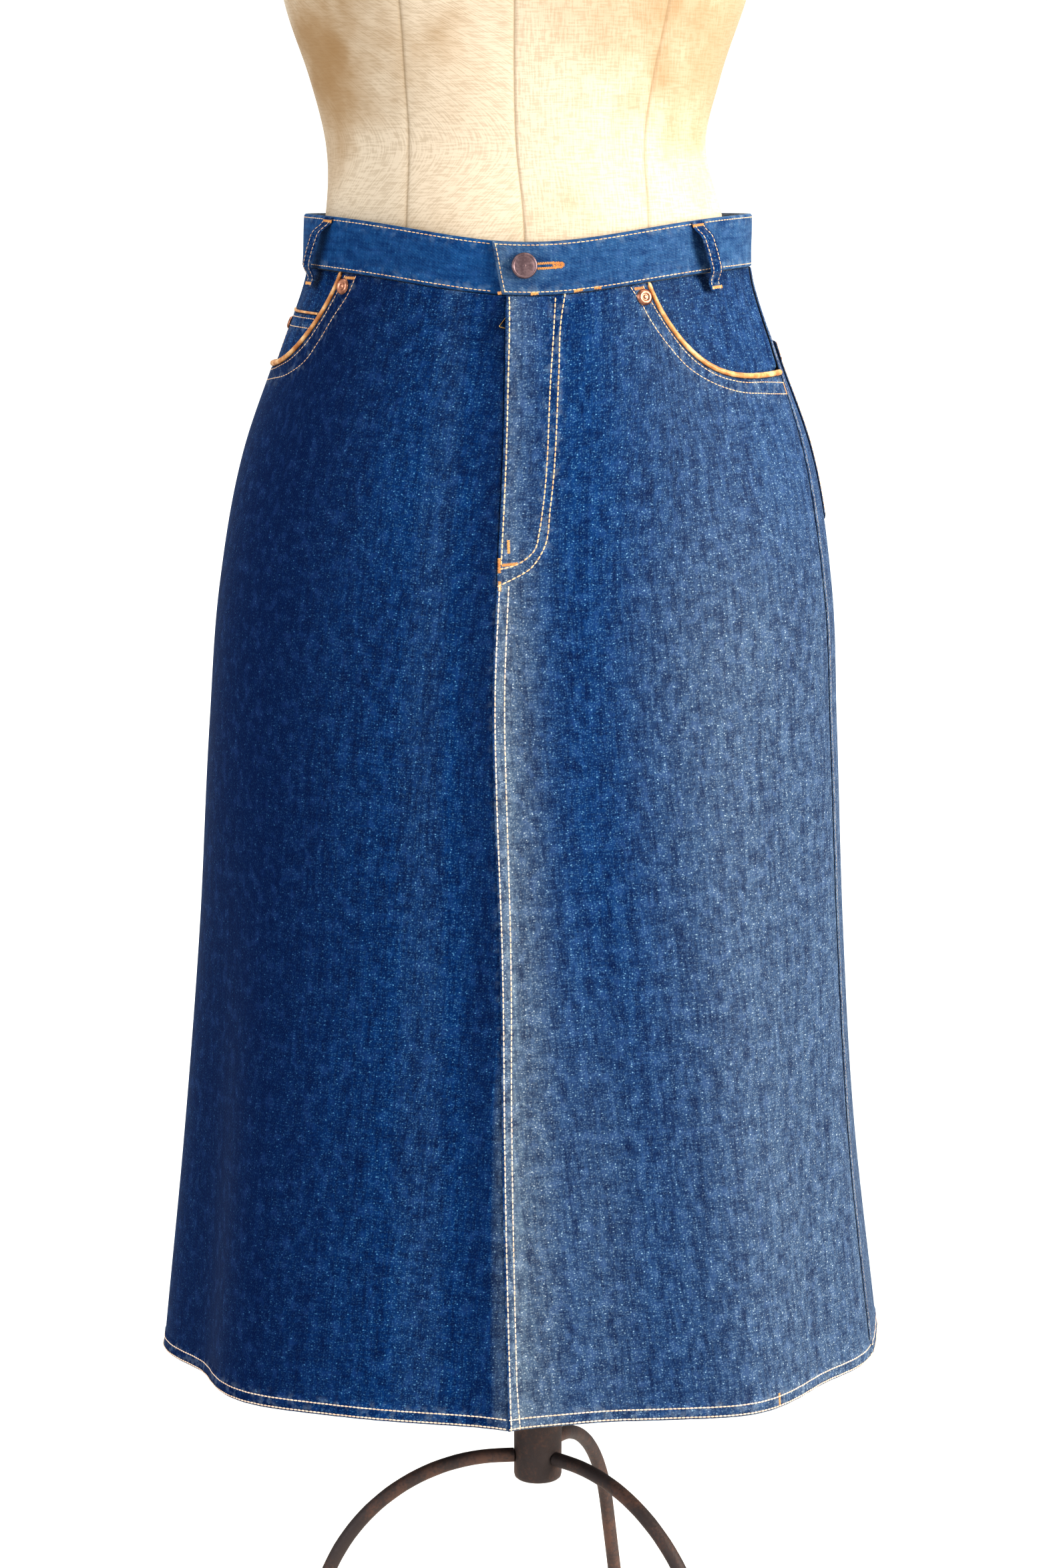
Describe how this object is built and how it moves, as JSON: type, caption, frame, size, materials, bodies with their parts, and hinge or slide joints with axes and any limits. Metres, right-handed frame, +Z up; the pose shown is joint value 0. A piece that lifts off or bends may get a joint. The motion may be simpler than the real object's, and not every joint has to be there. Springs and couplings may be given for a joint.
{
  "type": "denim skirt on dress form",
  "caption": "Flared indigo denim skirt with a fly front, curved front pockets, patch back pockets and belt loops, worn by a limbless linen dress form on an iron tripod.",
  "frame": {"origin": "on the floor, under the middle of the whole object's box", "axes": "+Z up, the skirt's front faces -Y, +X is the wearer's left"},
  "size_m": [0.526, 0.4337, 1.6773],
  "materials": {
    "denim": "raw indigo twill, matt, unwashed",
    "leather": "smooth tan, slightly glossy",
    "copper": "pressed copper, satin",
    "antique_copper": "dark antique copper, satin",
    "brass": "satin brass",
    "zip_tape": "woven tape, matt",
    "linen": "old beige linen, matt, a little stained",
    "wood": "waxed, dark",
    "iron": "rusty, rough"
  },
  "bodies": {
    "skirt_on_form": {"front_left": "denim", "front_right": "denim", "back_left": "denim", "back_right": "denim", "waistband": "denim", "back_pocket_left": "denim", "back_pocket_right": "denim", "pocket_facing_left": "denim", "pocket_facing_right": "denim", "coin_pocket": "denim", "fly_shield": "denim", "loop_front_left": "denim", "loop_front_right": "denim", "loop_back_left": "denim", "loop_back_right": "denim", "loop_back_centre": "denim", "pocket_piping_left": "leather", "pocket_piping_right": "leather", "coin_piping": "leather", "rivet_pocket_left": "copper", "rivet_pocket_right": "copper", "rivet_coin": "copper", "button": "antique_copper", "zip_chain": "brass", "zip_slider": "brass", "zip_tape": "zip_tape", "form_torso": "linen", "neck_cap": "wood", "base_board": "wood", "pole": "iron", "hub": "iron", "leg_front": "iron", "leg_back": "iron", "leg_side": "iron"},
    "zip_pull": {"zip_pull": "brass"}
  },
  "joints": [
    {"name": "zip_pull_swing", "type": "hinge", "parent": "skirt_on_form", "child": "zip_pull", "pos_m": [-0.00621, -0.11921, 1.13195], "axis": [-0.9777, -0.0282, 0.2081], "range_deg": [0, 8]}
  ]
}
